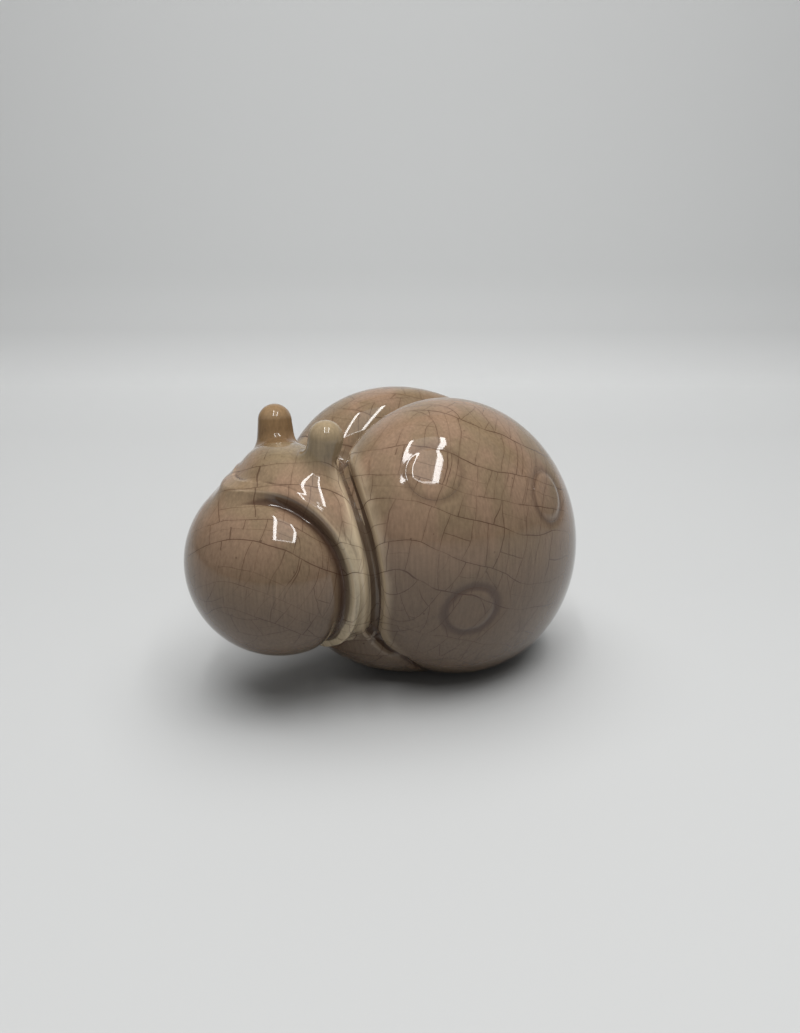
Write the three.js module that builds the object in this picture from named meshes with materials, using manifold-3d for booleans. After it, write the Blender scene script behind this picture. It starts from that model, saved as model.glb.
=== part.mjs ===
// Ladybug figurine: a hollow, crackle-glazed earthenware ornament, as its cast members before firing.
// A belly dish carries two wing cases; a hooded collar joins them to the head and carries two stub
// antennae; six round spots are let into the wing cases. Every member is luted to the next with slip.
// Millimetres, +Z up. The head looks along -Y and the animal's left side is +X.
// The origin lies on the table, under the middle of the figure's box.

import * as THREE from 'three';
import { mergeVertices } from 'three/addons/utils/BufferGeometryUtils.js';
import Module from 'manifold-3d';

const wasm = await Module();
wasm.setup();

// Driving dimensions: lengths in millimetres, angles in degrees

// Cast wall, floor of the belly dish, and the line of slip and glaze between two luted members
const WALL = 5;
const FLOOR_WALL = 5;
const SEAM = 0.3;

// Wing cases: egg-shaped lobes that lean forward, splay outward and meet on the mid-plane
const WING_HALF_WIDTH = 44.8;
const WING_HALF_DEPTH = 55.2;
const WING_HALF_LENGTH = 66.1;
const WING_LEAN = 45.8;
const WING_SPLAY = 12.9;
const WING_SPREAD = 15.7;
const WING_CENTRE_HEIGHT = 57.7;
const WING_SEAT_HEIGHT = 12;

// Belly: a low egg under the wing cases, cut flat where it stands
const BELLY_HALF_WIDTH = 44;
const BELLY_HALF_LENGTH = 61;
const BELLY_HALF_HEIGHT = 44;
const BREAST_AHEAD_OF_COLLAR = 13.9;
const BELLY_BELOW_WINGS = 17.7;
const VENT_DIAMETER = 14;

// Collar: a hood that leans forward over the head
const COLLAR_HALF_WIDTH = 41.1;
const COLLAR_HALF_DEPTH = 27.7;
const COLLAR_HALF_LENGTH = 49.7;
const COLLAR_LEAN = 35.7;
const COLLAR_BEHIND_WING_FRONT = 9.2;
const COLLAR_ABOVE_WINGS = 2.9;

// Head: a ball, open at the back, that sits in the collar
const HEAD_HALF_WIDTH = 38.7;
const HEAD_HALF_DEPTH = 35.8;
const HEAD_HALF_HEIGHT = 36.4;
const HEAD_FORWARD = 22.56;
const HEAD_BELOW_COLLAR = 3.2;
const NECK_BEHIND_HEAD = 20;

// Antennae: round-topped stubs with a flared foot and a tenon in the collar
const ANTENNA_HEIGHT = 16.5;
const ANTENNA_SPLAY = 8;
const ANTENNA_FLARE = 3;
const ANTENNA_FLARE_HEIGHT = 5;
const TENON_DIAMETER = 8;
// Modelled by hand, so the right one is stouter and stands a little further forward
const ANTENNAE = {
  left_antenna: { side: 1, diameter: 12.8, bearing: -32.2, elevation: 60.7, leanBack: 8 },
  right_antenna: { side: -1, diameter: 15.4, bearing: -37.3, elevation: 59.5, leanBack: 3 },
};

// Spots: round inlays in shallow recesses, with a ring groove left open around each
const SPOT_DIAMETER = 19;
const SPOT_GROOVE = 1.4;
const SPOT_RECESS = 2.4;
// Bearing and elevation of each spot, seen from the middle of its wing case
const SPOTS = {
  front_spot: { bearing: -45.8, elevation: 42.1 },
  side_spot: { bearing: -27.4, elevation: -13.6 },
  rear_spot: { bearing: 27, elevation: 32.3 },
};

// Fineness of the round surfaces, as counts of facets
const FINE = { columns: 36, rows: 22 };
const COARSE = { columns: 22, rows: 14 };
const TURNED_SIDES = 20;
const ARC_STEPS = 5;

// A cutting block reaches past the whole figure
const REACH = 2 * (2 * WING_HALF_LENGTH + HEAD_FORWARD + HEAD_HALF_DEPTH);

const radians = THREE.MathUtils.degToRad;
const UP = new THREE.Vector3(0, 0, 1);

// A closed three.js geometry as a solid that can be joined and cut
function solid(geometry) {
  geometry.deleteAttribute('normal');
  geometry.deleteAttribute('uv');
  const merged = mergeVertices(geometry);
  const vertProperties = new Float32Array(merged.attributes.position.array);
  const triVerts = new Uint32Array(merged.index.array);
  return new wasm.Manifold(new wasm.Mesh({ numProp: 3, vertProperties, triVerts }));
}

// An ellipsoid member, grown or shrunk all round by a wall or a seam
function ellipsoid(member, grow, fineness) {
  const geometry = new THREE.SphereGeometry(1, fineness.columns, fineness.rows);
  geometry.scale(member.radii.x + grow, member.radii.y + grow, member.radii.z + grow);
  geometry.applyQuaternion(member.turn);
  geometry.translate(member.centre.x, member.centre.y, member.centre.z);
  return solid(geometry);
}

// A block between two corners
function block(low, high) {
  const size = new THREE.Vector3().subVectors(high, low);
  const geometry = new THREE.BoxGeometry(size.x, size.y, size.z);
  const middle = new THREE.Vector3().addVectors(low, high).multiplyScalar(0.5);
  geometry.translate(middle.x, middle.y, middle.z);
  return solid(geometry);
}

const LOWEST = new THREE.Vector3(-REACH, -REACH, -REACH);
const HIGHEST = new THREE.Vector3(REACH, REACH, REACH);
const above = (height) => block(LOWEST.clone().setZ(height), HIGHEST);
const ahead = (y) => block(LOWEST, HIGHEST.clone().setY(y));

// The half of the figure on one side, +1 for the animal's left, less half a seam
function beside(side) {
  const inner = side * SEAM / 2;
  const outer = side * REACH;
  return block(
    new THREE.Vector3(Math.min(inner, outer), -REACH, -REACH),
    new THREE.Vector3(Math.max(inner, outer), REACH, REACH),
  );
}

// A shape turned about its own +Z axis, stood at a point with that axis along a direction
function turned(profile, point, direction) {
  const geometry = new THREE.LatheGeometry(profile, TURNED_SIDES);
  geometry.rotateX(Math.PI / 2);
  geometry.applyQuaternion(new THREE.Quaternion().setFromUnitVectors(UP, direction));
  geometry.translate(point.x, point.y, point.z);
  return solid(geometry);
}

const rod = (radius, from, to) => [
  new THREE.Vector2(0, from),
  new THREE.Vector2(radius, from),
  new THREE.Vector2(radius, to),
  new THREE.Vector2(0, to),
];

// Where a ray from the middle of a member leaves its surface, and the outward direction there
function onSurface(member, side, bearing, elevation) {
  const flat = Math.cos(radians(elevation));
  const ray = new THREE.Vector3(
    side * flat * Math.cos(radians(bearing)),
    flat * Math.sin(radians(bearing)),
    Math.sin(radians(elevation)),
  );
  const own = ray.clone().applyQuaternion(member.turn.clone().invert());
  const reach = 1 / own.clone().divide(member.radii).length();
  const outward = own.divide(member.radii).divide(member.radii).normalize().applyQuaternion(member.turn);
  return { point: member.centre.clone().addScaledVector(ray, reach), outward };
}

// Members as ellipsoids: a lean turns the top towards -Y, a splay then turns it outward
function member(radii, centre, lean = 0, splay = 0) {
  const turn = new THREE.Quaternion().setFromEuler(new THREE.Euler(radians(lean), 0, radians(splay), 'ZYX'));
  return { radii, centre, turn };
}

// How far a member reaches ahead of its own middle
function reachAhead({ radii, turn }) {
  return new THREE.Vector3(0, -1, 0).applyQuaternion(turn.clone().invert()).multiply(radii).length();
}

const wingLobe = (side) => member(
  new THREE.Vector3(WING_HALF_WIDTH, WING_HALF_DEPTH, WING_HALF_LENGTH),
  new THREE.Vector3(side * WING_SPREAD, 0, WING_CENTRE_HEIGHT),
  WING_LEAN,
  side * WING_SPLAY,
);
const collarY = COLLAR_BEHIND_WING_FRONT - reachAhead(wingLobe(1));
const collar = member(
  new THREE.Vector3(COLLAR_HALF_WIDTH, COLLAR_HALF_DEPTH, COLLAR_HALF_LENGTH),
  new THREE.Vector3(0, collarY, WING_CENTRE_HEIGHT + COLLAR_ABOVE_WINGS),
  COLLAR_LEAN,
);
const bellyY = collarY - BREAST_AHEAD_OF_COLLAR + BELLY_HALF_LENGTH;
const belly = member(
  new THREE.Vector3(BELLY_HALF_WIDTH, BELLY_HALF_LENGTH, BELLY_HALF_HEIGHT),
  new THREE.Vector3(0, bellyY, WING_CENTRE_HEIGHT - BELLY_BELOW_WINGS),
);
const head = member(
  new THREE.Vector3(HEAD_HALF_WIDTH, HEAD_HALF_DEPTH, HEAD_HALF_HEIGHT),
  collar.centre.clone().sub(new THREE.Vector3(0, HEAD_FORWARD, HEAD_BELOW_COLLAR)),
);
const neckY = head.centre.y + NECK_BEHIND_HEAD;

// The casting cavity: every member shrunk by the wall, joined, above the floor of the dish
const cavity = [wingLobe(1), wingLobe(-1), belly, collar, head]
  .map((each) => ellipsoid(each, -WALL, COARSE))
  .reduce((all, each) => all.add(each))
  .intersect(above(FLOOR_WALL));

const wingLobes = (grow) => ellipsoid(wingLobe(1), grow, FINE).add(ellipsoid(wingLobe(-1), grow, FINE));
const headBall = (grow) => ellipsoid(head, grow, FINE).intersect(ahead(neckY + grow));
const wingRoom = wingLobes(SEAM).intersect(above(WING_SEAT_HEIGHT - SEAM));

// Belly dish: the figure's underside up to the wing seat, with the breast that shows below the collar
function bellySolid() {
  const underside = wingLobes(0).subtract(above(WING_SEAT_HEIGHT - SEAM));
  const breast = ellipsoid(belly, 0, FINE).subtract(wingRoom);
  const vent = turned(rod(VENT_DIAMETER / 2, -FLOOR_WALL, 2 * FLOOR_WALL), belly.centre.clone().setZ(0), UP);
  return underside.add(breast)
    .intersect(above(0))
    .subtract(ellipsoid(collar, SEAM, FINE))
    .subtract(headBall(SEAM))
    .subtract(cavity)
    .subtract(vent);
}

// A wing case: half of the pair of lobes, open at its seat and on the mid-plane, with three recesses
function wingSolid(side) {
  let wing = ellipsoid(wingLobe(side), 0, FINE)
    .intersect(beside(side))
    .intersect(above(WING_SEAT_HEIGHT))
    .subtract(cavity);
  const bed = ellipsoid(wingLobe(side), -SPOT_RECESS, FINE);
  for (const { bearing, elevation } of Object.values(SPOTS)) {
    const { point, outward } = onSurface(wingLobe(side), side, bearing, elevation);
    const bore = rod(SPOT_DIAMETER / 2 + SPOT_GROOVE, -SPOT_DIAMETER / 2, SPOT_DIAMETER / 2);
    wing = wing.subtract(turned(bore, point, outward).subtract(bed));
  }
  return wing;
}

// A spot: a curved disc, flush with the wing case and seated on the bed of its recess
function spotSolid(side, { bearing, elevation }) {
  const { point, outward } = onSurface(wingLobe(side), side, bearing, elevation);
  const disc = rod(SPOT_DIAMETER / 2, -SPOT_DIAMETER / 2, SPOT_DIAMETER / 2);
  return turned(disc, point, outward)
    .intersect(ellipsoid(wingLobe(side), 0, FINE))
    .subtract(ellipsoid(wingLobe(side), SEAM - SPOT_RECESS, FINE));
}

// Where an antenna stands on the collar, the collar's outward direction there, and the way that it points
function antennaStand({ side, bearing, elevation, leanBack }) {
  const { point, outward } = onSurface(collar, side, bearing, elevation);
  const splay = side * Math.tan(radians(ANTENNA_SPLAY));
  const axis = new THREE.Vector3(splay, Math.tan(radians(leanBack)), 1).normalize();
  return { point, outward, axis };
}

function tenon(antenna, grow) {
  const { point, axis } = antennaStand(antenna);
  return turned(rod(TENON_DIAMETER / 2 + grow, -WALL - grow, ANTENNA_FLARE_HEIGHT + grow), point, axis);
}

// Collar: the hood between the head and the wing cases, with two sockets for the antennae
function collarSolid() {
  return ellipsoid(collar, 0, FINE)
    .subtract(wingRoom)
    .subtract(headBall(SEAM))
    .subtract(cavity)
    .subtract(tenon(ANTENNAE.left_antenna, SEAM))
    .subtract(tenon(ANTENNAE.right_antenna, SEAM));
}

// Head: a hollow ball, open at the neck
function headSolid() {
  return headBall(0).subtract(wingRoom).subtract(cavity);
}

// Antenna: a round-topped stub whose flared foot sits on the collar, with its tenon
function antennaSolid(antenna) {
  const { point, outward, axis } = antennaStand(antenna);
  const radius = antenna.diameter / 2;
  const foot = radius + ANTENNA_FLARE;
  const dome = new THREE.EllipseCurve(0, ANTENNA_HEIGHT - radius, radius, radius, 0, Math.PI / 2);
  // The flare runs on into the stub, so that no step shows where it ends
  const neck = radius / 2;
  // The collar's curve falls away under the foot: its edge comes halfway down to it
  const fall = foot ** 2 / (2 * COLLAR_HALF_WIDTH) / 2;
  const flare = new THREE.EllipseCurve(foot, ANTENNA_FLARE_HEIGHT, foot - neck, ANTENNA_FLARE_HEIGHT + fall,
    -Math.PI / 2, -Math.PI, true);
  const onAxis = (height) => new THREE.Vector2(0, height);
  const stub = [onAxis(-radius), new THREE.Vector2(radius, -radius), ...dome.getPoints(ARC_STEPS)];
  const skirt = [onAxis(-WALL), new THREE.Vector2(foot, -WALL), ...flare.getPoints(ARC_STEPS),
    onAxis(ANTENNA_FLARE_HEIGHT)];
  return turned(stub, point, axis)
    .add(turned(skirt, point, outward))
    .subtract(ellipsoid(collar, SEAM, FINE))
    .add(tenon(antenna, 0))
    .subtract(wingRoom)
    .subtract(headBall(SEAM));
}

// Glazes
const glaze = (color, roughness) => new THREE.MeshStandardMaterial({ color, roughness, metalness: 0 });
const brownGlaze = glaze(0x7d6753, 0.2);
const khakiGlaze = glaze(0x93835f, 0.22);

// The figure, moved so that the origin is under the middle of its box
const figure = new THREE.Group();

function add(name, shape, material) {
  const { vertProperties, triVerts } = shape.getMesh();
  const geometry = new THREE.BufferGeometry();
  geometry.setAttribute('position', new THREE.BufferAttribute(vertProperties, 3));
  geometry.setIndex(new THREE.BufferAttribute(triVerts, 1));
  const mesh = new THREE.Mesh(geometry, material);
  mesh.name = name;
  figure.add(mesh);
}

add('belly_dish', bellySolid(), brownGlaze);
add('collar', collarSolid(), khakiGlaze);
add('head', headSolid(), brownGlaze);
for (const [name, antenna] of Object.entries(ANTENNAE)) {
  add(name, antennaSolid(antenna), khakiGlaze);
}
for (const [label, side] of [['left', 1], ['right', -1]]) {
  add(`${label}_wing_case`, wingSolid(side), brownGlaze);
  for (const [spot, place] of Object.entries(SPOTS)) {
    add(`${label}_${spot}`, spotSolid(side, place), brownGlaze);
  }
}

const box = new THREE.Box3().setFromObject(figure);
const middle = box.getCenter(new THREE.Vector3());
figure.position.set(-middle.x, -middle.y, -box.min.z);

export default figure;
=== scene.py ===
"""Ladybug figurine in brown crackle-glazed ceramic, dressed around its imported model."""

import bpy
import numpy as np
from mathutils import Euler, Matrix, Vector


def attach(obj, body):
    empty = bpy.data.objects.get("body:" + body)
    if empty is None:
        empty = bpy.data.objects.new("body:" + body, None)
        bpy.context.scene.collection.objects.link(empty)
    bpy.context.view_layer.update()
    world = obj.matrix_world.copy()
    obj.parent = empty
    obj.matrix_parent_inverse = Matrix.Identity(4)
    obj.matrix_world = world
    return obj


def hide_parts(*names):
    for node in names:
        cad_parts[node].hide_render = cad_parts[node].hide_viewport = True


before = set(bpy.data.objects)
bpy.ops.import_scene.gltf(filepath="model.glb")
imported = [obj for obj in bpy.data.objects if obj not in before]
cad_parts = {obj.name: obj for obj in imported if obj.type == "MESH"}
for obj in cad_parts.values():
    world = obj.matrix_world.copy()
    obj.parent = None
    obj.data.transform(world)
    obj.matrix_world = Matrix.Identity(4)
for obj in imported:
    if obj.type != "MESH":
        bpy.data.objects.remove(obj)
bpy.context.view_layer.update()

# Table and camera
# The figurine stands on a pale grey table top that sweeps up into a plain backdrop.
# The camera looks at its left front from a little above, with a phone's wide lens at arm's length.
TABLE_COLOR = (1, 1.01, 1.005, 1)
TABLE_ROUGHNESS = 0.7
BLACK = (0, 0, 0, 1)
FLOOR_RUN = (-3, -0.3, 0.1, 0.5, 0.84)
# Floor and wall tones are painted light and shade: lighter far off, dipping in the curve and dimming above
# the picture
FLOOR_LIGHT_TONES = (0.4, 0.43, 0.47, 0.55, 0.66)
SWEEP_RADIUS = 0.15
SWEEP_STEPS = 24
SWEEP_SHADE_DIP = (0.65, 0.57)
WALL_RISE = (0.16, 0.3, 0.6, 1.3, 2.4)
WALL_LIGHT_TONES = (0.66, 0.65, 0.61, 0.2, 0.15)
TABLE_HALF_WIDTH = 4.0
CAMERA_PLACE = Vector((0.2686, -0.1560, 0.1677))
CAMERA_AIM = Vector((0, 0.0067, 0.0665))
IMAGE_HEIGHT = 1033
FOCAL_PIXELS = 776
SENSOR_WIDTH = 36


def put(name, data):
    """A mesh, a camera or a lamp as an object of the scene, at the origin."""
    piece = bpy.data.objects.new(name, data)
    bpy.context.scene.collection.objects.link(piece)
    return piece


class Field:
    """A value that changes over a surface: one socket of a material's nodes. Arithmetic adds Math nodes."""

    def __init__(self, tree, socket=None):
        self.tree = tree
        self.socket = socket

    def fill(self, node, sockets):
        """Gives the sockets of a node numbers, colours or links."""
        for name, value in sockets.items():
            if isinstance(value, Field):
                self.tree.links.new(value.socket, node.inputs[name])
            else:
                node.inputs[name].default_value = value

    def node(self, kind, settings, sockets, output=0):
        """Adds a node: its settings are set first, then its sockets are filled."""
        made = self.tree.nodes.new(kind)
        for name, value in settings.items():
            setattr(made, name, value)
        self.fill(made, sockets)
        return Field(self.tree, made.outputs[output])

    def math(self, operation, *values):
        """Adds a Math node to fields and numbers."""
        return self.node("ShaderNodeMath", {"operation": operation}, dict(enumerate(values)))

    def __add__(self, other):
        return self.math("ADD", self, other)

    def __radd__(self, other):
        return self.math("ADD", other, self)

    def __sub__(self, other):
        return self.math("SUBTRACT", self, other)

    def __rsub__(self, other):
        return self.math("SUBTRACT", other, self)

    def __mul__(self, other):
        return self.math("MULTIPLY", self, other)

    def __rmul__(self, other):
        return self.math("MULTIPLY", other, self)

    def __truediv__(self, other):
        return self.math("DIVIDE", self, other)

    def __rtruediv__(self, other):
        return self.math("DIVIDE", other, self)


def mix(share, first, second):
    """A colour between two others: the first where the share is 0, the second where it is 1. The colours
    of a Mix node are its inputs 6 and 7 and its output 2."""
    return share.node("ShaderNodeMix", {"data_type": "RGBA"}, {0: share, 6: first, 7: second}, 2)


def painted(name):
    """A new material, and the field that adds its nodes."""
    material = bpy.data.materials.new(name)
    material.use_nodes = True
    return material, Field(material.node_tree)


def shade(surface, sockets):
    """Gives a material's shader its values."""
    surface.fill(surface.tree.nodes["Principled BSDF"], sockets)


def table_sweep():
    """A profile carried sideways, square to the view: the flat table, a quarter circle, an upright wall.
    Its tone is painted light and shade: lighter far from the camera, darker in a dip along the curve, and
    dimming above the picture."""
    away = (CAMERA_AIM - CAMERA_PLACE).to_2d().normalized()
    turn = np.linspace(0, np.pi / 2, SWEEP_STEPS)[1:]
    curve = FLOOR_RUN[-1] + SWEEP_RADIUS * np.sin(turn)
    out = np.concatenate((FLOOR_RUN, curve, np.full(len(WALL_RISE), curve[-1])))
    up = np.concatenate((np.zeros(len(FLOOR_RUN)), SWEEP_RADIUS * (1 - np.cos(turn)), WALL_RISE))
    dip_at, dip = SWEEP_SHADE_DIP
    curve_light_tone = np.interp(turn * 2 / np.pi, (0, dip_at, 1), (FLOOR_LIGHT_TONES[-1], dip, WALL_LIGHT_TONES[0]))
    tone = np.concatenate((FLOOR_LIGHT_TONES, curve_light_tone, WALL_LIGHT_TONES))
    side = np.array((-TABLE_HALF_WIDTH, TABLE_HALF_WIDTH))[:, None]
    grid = np.stack((out * away.x - side * away.y, out * away.y + side * away.x, up + 0 * side), axis=-1)
    first = np.arange(len(out) - 1)
    faces = np.stack((first + 1, first + len(out) + 1, first + len(out), first), axis=1)
    mesh = bpy.data.meshes.new("table")
    mesh.from_pydata(grid.reshape(-1, 3).tolist(), [], faces.tolist())
    mesh.shade_smooth()
    mesh.attributes.new("tone", "FLOAT", "POINT").data.foreach_set("value", np.tile(tone, 2))
    return mesh


table = put("table", table_sweep())
table_paint, table_top = painted("table_paint")
# The tone attribute paints light and shade on the table and backdrop
table_painted_light = table_top.node("ShaderNodeAttribute", {"attribute_name": "tone"}, {}, "Fac")
shade(table_top, {"Base Color": mix(table_painted_light, BLACK, TABLE_COLOR), "Roughness": TABLE_ROUGHNESS})
table.data.materials.append(table_paint)

camera_data = bpy.data.cameras.new("camera")
camera_data.sensor_width = SENSOR_WIDTH
camera_data.lens = SENSOR_WIDTH * FOCAL_PIXELS / IMAGE_HEIGHT
camera = put("camera", camera_data)
camera.location = CAMERA_PLACE
camera.rotation_euler = (CAMERA_AIM - CAMERA_PLACE).to_track_quat("-Z", "Y").to_euler()
bpy.context.scene.camera = camera

# Clay forms
# The members are eggs of clay, pressed together while soft, with edges rolled over by a finger. One coat of
# glaze runs over all of them, so each piece below is a part of this common skin, here in millimetres.
WING_RADII = (44.8, 55.2, 66.1)
WING_CENTRE = np.array((15.7, 24.62, 57.7))
WING_LEAN = 45.8
WING_SPLAY = 12.9
WING_SEAT = 12
BELLY_RADII = (44, 61, 44)
BELLY_CENTRE = np.array((0, 20.62, 40))
COLLAR_RADII = (41.1, 27.7, 49.7)
COLLAR_CENTRE = np.array((0, -26.52, 60.6))
COLLAR_LEAN = 35.7
HEAD_RADII = (38.7, 35.8, 36.4)
HEAD_CENTRE = np.array((0, -49.08, 57.4))
MIRROR = np.array((-1, 1, 1))


def egg(radii, centre, lean=0.0, splay=0.0):
    """An egg with its three half sizes and its middle, leaned forward about X, then splayed about Z."""
    cos_lean, cos_splay = np.cos(np.radians((lean, splay)))
    sin_lean, sin_splay = np.sin(np.radians((lean, splay)))
    about_x = np.array(((1, 0, 0), (0, cos_lean, -sin_lean), (0, sin_lean, cos_lean)))
    about_z = np.array(((cos_splay, -sin_splay, 0), (sin_splay, cos_splay, 0), (0, 0, 1)))
    return {"radii": np.array(radii), "centre": centre, "turn": about_z @ about_x}


def above(form, p):
    """Height over an egg's surface, below 0 inside: k (k - 1) / g, where k and g are the lengths of the
    point divided by the radii, once and twice, in the egg's own axes."""
    own = (p - form["centre"]) @ form["turn"] / form["radii"]
    k = np.linalg.norm(own, axis=-1)
    return k * (k - 1) / np.linalg.norm(own / form["radii"], axis=-1)


def outward(form, p):
    """The direction in which the height over an egg grows, as a unit vector."""
    steep = (p - form["centre"]) @ form["turn"] / form["radii"] ** 2 @ form["turn"].T
    return steep / np.linalg.norm(steep, axis=-1, keepdims=True)


def on_egg(form, side, bearing, elevation):
    """The point of an egg's surface in a direction from its middle, and the outward direction there."""
    bearing, elevation = np.radians((bearing, elevation))
    ray = np.array((side * np.cos(bearing), np.sin(bearing), np.tan(elevation))) @ form["turn"]
    own = ray / np.linalg.norm(ray / form["radii"])
    place = form["centre"] + form["turn"] @ own
    return place, outward(form, place)


def fade(start, end, x):
    """0 before start and 1 after end, with a smooth cubic step between them."""
    t = np.clip((x - start) / (end - start), 0, 1)
    return t * t * (3 - 2 * t)


def rolled(distance, width, radius):
    """How far an edge sinks within a width of its end, along a circle of the roll's radius."""
    run = np.clip(width - distance, 0, width)
    return radius - np.sqrt(radius ** 2 - run ** 2)


def merged(a, b, reach):
    """The lower of two heights, with their crease filled by a fillet of that reach."""
    return np.minimum(a, b) - np.maximum(reach - np.abs(a - b), 0) ** 2 / (4 * reach)


wing_eggs = [egg(WING_RADII, WING_CENTRE, WING_LEAN, WING_SPLAY)]
wing_eggs.append(egg(WING_RADII, WING_CENTRE * MIRROR, WING_LEAN, -WING_SPLAY))
belly_egg = egg(BELLY_RADII, BELLY_CENTRE)
collar_egg = egg(COLLAR_RADII, COLLAR_CENTRE, COLLAR_LEAN)
head_egg = egg(HEAD_RADII, HEAD_CENTRE)
BELLY, LEFT_WING, RIGHT_WING, COLLAR, HEAD = range(5)

# Widths and radii of the rolled edges, the fillets of slip in the creases and the channels cut along them
WING_ROLL = (7, 16)
VALLEY_ROLL = (13, 13.5)
COLLAR_ROLL = (3, 8)
CHANNEL_DEPTH = 3.2
CHANNEL_WIDTH = 3.8
CHANNEL_FADE = (12, 40)
CHANNEL_END = 0.35
CHANNEL_MIDDLE = (5, 15)
CHANNEL_TOP = (7, 3)
MIDDLE_FILLET = 6
LEAST_GROWTH = 0.2
BELLY_TOP = 20
BELLY_TAPER = 0.5
BELLY_FILLET = 7
HEAD_BACK = 3
SLIP = 1.5
HOOD_FILLET = 8
LIP_HEIGHT = 1.7
LIP_RUN = 26
LIP_ROUND = 1
LIP_FILLETS = (4, 12)
LIP_SWELL = (55, 100)
RIM_BACK = 11.2
RIM_RISE = 29.5
RIM_POWER = 12
RIM_GROOVE_DEPTH = 1.4
RIM_GROOVE_WIDTH = 9
RIM_FADE = (10, 40)
RIM_FADE_RIGHT = (50, 80)

# Spots: ring grooves round flush discs, by bearing and elevation from the middle of the wing's egg
SPOTS = {"front_spot": (-45.8, 42.1), "side_spot": (-27.4, -13.6), "rear_spot": (27, 32.3)}
SPOT_PRESS = {"front_spot": 0.6, "side_spot": 1, "rear_spot": 0.7}
SPOT_RADIUS = 10
SPOT_GROOVE_DEPTH = 0.6
SPOT_GROOVE_WIDTHS = (1.7, 3.2)
SPOT_FLAT = 0.45
SPOT_BED = 2.4
SPOT_BED_EDGE = (1.5, 4)
spot_places = {name: on_egg(wing_eggs[0], 1, *place) for name, place in SPOTS.items()}


def to_left(p):
    """Points with the right side of the mid-plane mirrored to the left."""
    return np.abs(p) * (1, 0, 0) + p * (0, 1, 1)


def spot_rings(p):
    """For each spot of a pair, the distance from its axis and the bell curve across its ring groove, which
    is steeper inside and as high as the tool was pressed. Points far below the wing's surface count as
    far from the axis."""
    near = to_left(p)
    for name, (place, facing) in spot_places.items():
        out = near - place
        along = out @ facing
        from_axis = np.linalg.norm(out - along[..., None] * facing, axis=-1)
        from_axis = np.where(along > -SPOT_RADIUS, from_axis, 10 * SPOT_RADIUS)
        across = from_axis - SPOT_RADIUS
        bell = np.exp(-(across / np.where(across < 0, *SPOT_GROOVE_WIDTHS)) ** 2)
        yield from_axis, SPOT_PRESS[name] * bell


def spot_sink(p, discs):
    """Depth of the ring grooves on both wings, of the flattened middles and, without the discs, of the beds
    that hold them."""
    total = 0
    for from_axis, bell in spot_rings(p):
        flat = SPOT_FLAT * np.maximum(1 - (from_axis / SPOT_RADIUS) ** 2, 0)
        bed = 0 if discs else SPOT_BED * fade(*SPOT_BED_EDGE, SPOT_RADIUS - from_axis)
        total = total + SPOT_GROOVE_DEPTH * bell + flat + bed
    return total


def rim(p):
    """Distance ahead of the collar's rim, and the angle round the head from its top in degrees. The rim
    lies behind the middle of the head and rises over its top as a high power of cos(angle / 2)."""
    angle = np.arctan2(np.abs(p[..., 0]), p[..., 2] - HEAD_CENTRE[2])
    rise = RIM_RISE * np.cos(angle / 2) ** RIM_POWER
    return HEAD_CENTRE[1] + RIM_BACK - rise - p[..., 1], np.degrees(angle)


def crease(p, collar, belly, wing):
    """Distance from the crease of the wing's egg with the collar's and the belly's: the difference of
    the two heights, divided by how fast it grows."""
    near = to_left(p)
    share = fade(-BELLY_FILLET, BELLY_FILLET, belly - collar)[..., None]
    facing = outward(collar_egg, near) * share + outward(belly_egg, near) * (1 - share)
    growth = np.linalg.norm(facing - outward(wing_eggs[0], near), axis=-1)
    return np.abs(merged(collar, belly, BELLY_FILLET) - wing) / np.maximum(growth, LEAST_GROWTH)


def channel(p, across, height):
    """Depth of the channel between the wings and the front: a raised cosine across their crease.
    It is shallower near the foot and ends behind the hood and a little above the skin."""
    depth = CHANNEL_DEPTH * (CHANNEL_END + (1 - CHANNEL_END) * fade(*CHANNEL_FADE, p[..., 2]))
    depth = depth * fade(*CHANNEL_MIDDLE, np.abs(p[..., 0])) * fade(*CHANNEL_TOP, height)
    return depth * np.cos(np.minimum(across / CHANNEL_WIDTH, 1) * np.pi / 2) ** 2


def members(p, discs):
    """Heights over the five members, each with its edges rolled over where its neighbours meet it,
    the strength of the collar's rim, which fades out on the top of the head, and the channel's depth."""
    belly, collar, head = (above(form, p) for form in (belly_egg, collar_egg, head_egg))
    left, right = (above(form, p) for form in wing_eggs)
    wings = np.minimum(left, right)
    ahead, angle = rim(p)
    strength = np.where(p[..., 0] > 0, fade(*RIM_FADE, angle), fade(*RIM_FADE_RIGHT, angle))
    belly = belly + BELLY_TAPER * np.maximum(p[..., 2] - BELLY_TOP, 0)
    head = head + np.maximum(-ahead - HEAD_BACK, 0)
    lips = rolled(collar, *WING_ROLL) + rolled(np.abs(p[..., 0]), *VALLEY_ROLL) + spot_sink(p, discs)
    groove = np.cos(np.clip(ahead / RIM_GROOVE_WIDTH, -1, 1) * np.pi / 2) ** 2
    lip = LIP_HEIGHT * strength * fade(LIP_RUN, 0, -ahead)
    least_fillet, most_fillet = LIP_FILLETS
    fillet = least_fillet + (most_fillet - least_fillet) * fade(*LIP_SWELL, angle)
    reach = SLIP + fillet * strength * (2 - strength)
    cut = -ahead - reach / 4
    skirt = -merged(lip - head, cut, LIP_ROUND)
    crown = collar + strength * (-merged(-collar, cut, LIP_ROUND) - collar)
    hood = merged(crown, skirt, reach) + rolled(wings, *COLLAR_ROLL)
    heights = (belly, left + lips, right + lips, hood, head + RIM_GROOVE_DEPTH * strength * groove)
    lowest = np.minimum(np.minimum(collar, belly), wings)
    return np.stack(heights), strength, channel(p, crease(p, collar, belly, wings), lowest)


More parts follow.
